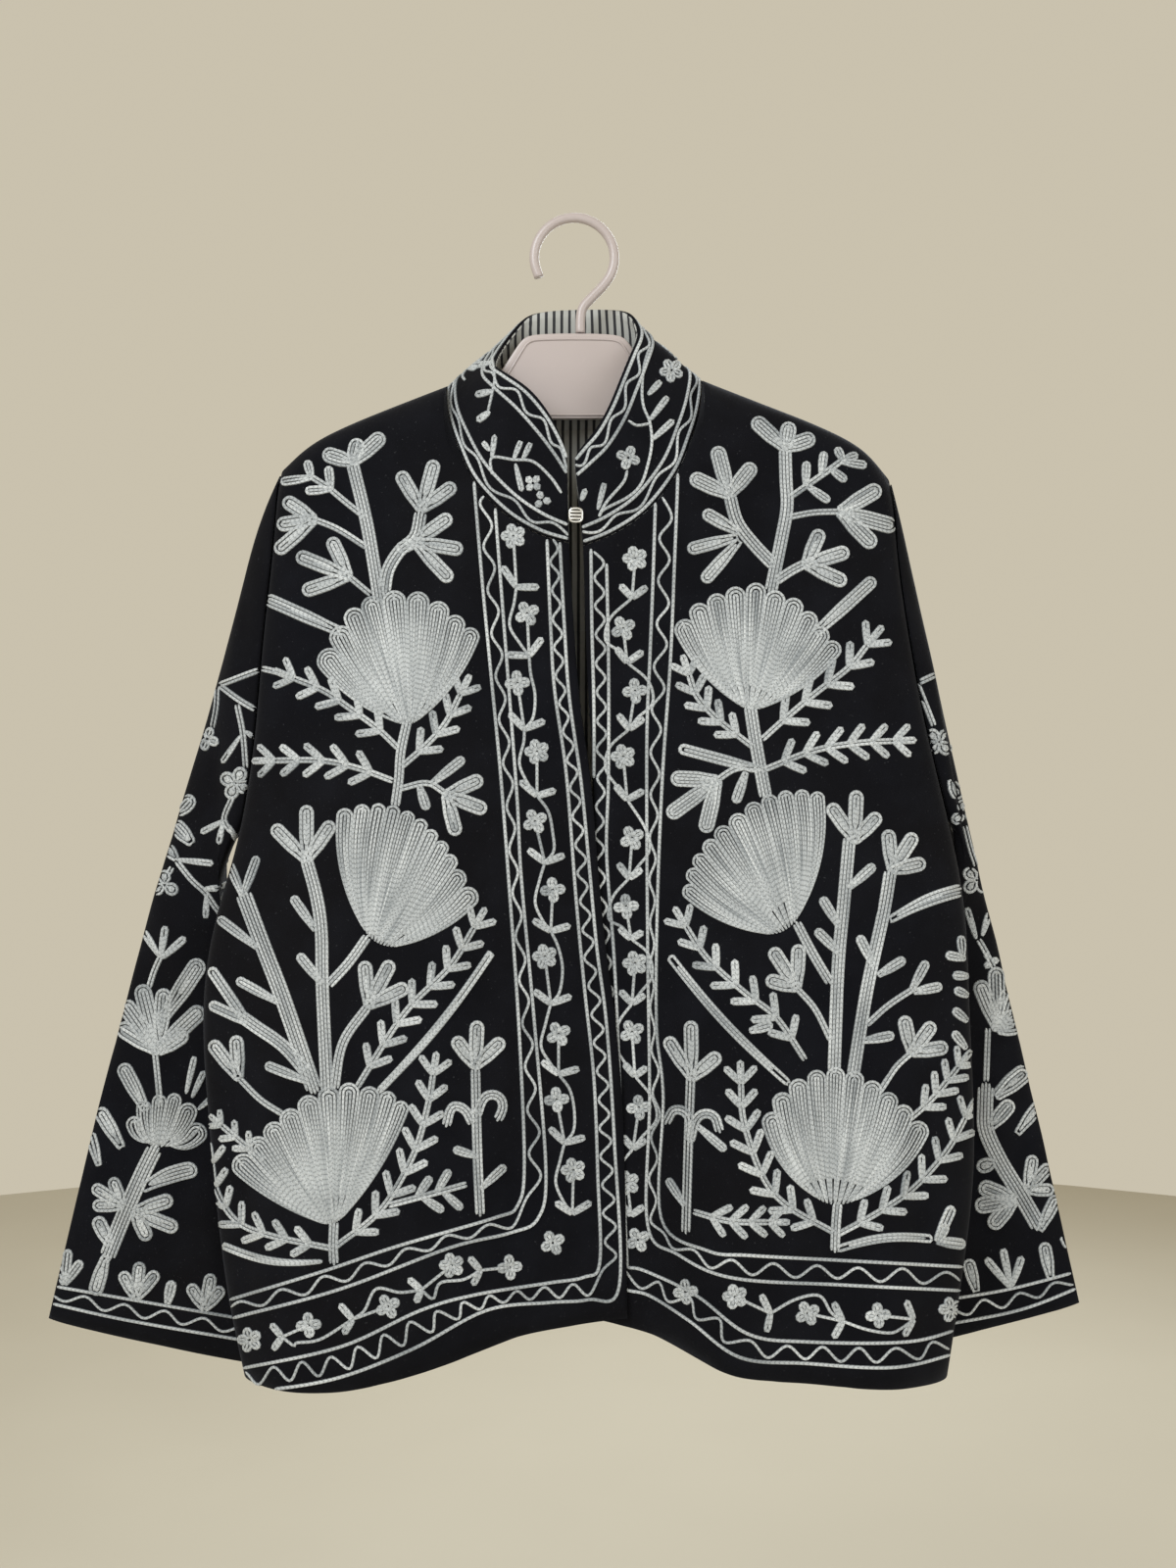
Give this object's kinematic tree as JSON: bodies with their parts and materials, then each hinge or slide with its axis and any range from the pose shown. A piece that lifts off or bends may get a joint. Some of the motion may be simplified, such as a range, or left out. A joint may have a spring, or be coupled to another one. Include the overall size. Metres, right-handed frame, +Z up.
{
  "type": "suzani jacket on a hanger",
  "caption": "Black cotton jacket with white chain-stitch flowers, stand collar and striped lining, hung on a pale plastic hanger.",
  "frame": {"origin": "inner top of the hanger's hook, where a peg or rail carries it", "axes": "+Z up, +X to the wearer's left (the viewer's right), -Y out of the jacket's front"},
  "size_m": [0.7497, 0.126, 0.833],
  "materials": {
    "black_cloth": "matte napped cotton",
    "white_thread": "matte chain-stitched yarn",
    "striped_lining": "matte woven cotton, grey and black stripes",
    "hanger_plastic": "satin moulded plastic",
    "hook_metal": "bright stamped metal"
  },
  "bodies": {
    "root": {"back": "black_cloth", "right_front": "black_cloth", "left_front": "black_cloth", "right_sleeve": "black_cloth", "left_sleeve": "black_cloth", "collar": "black_cloth", "collar_lining": "striped_lining", "neck_lining": "striped_lining", "closure_hook": "hook_metal", "hanger_hook": "hanger_plastic", "hanger_body": "hanger_plastic"}
  },
  "joints": []
}
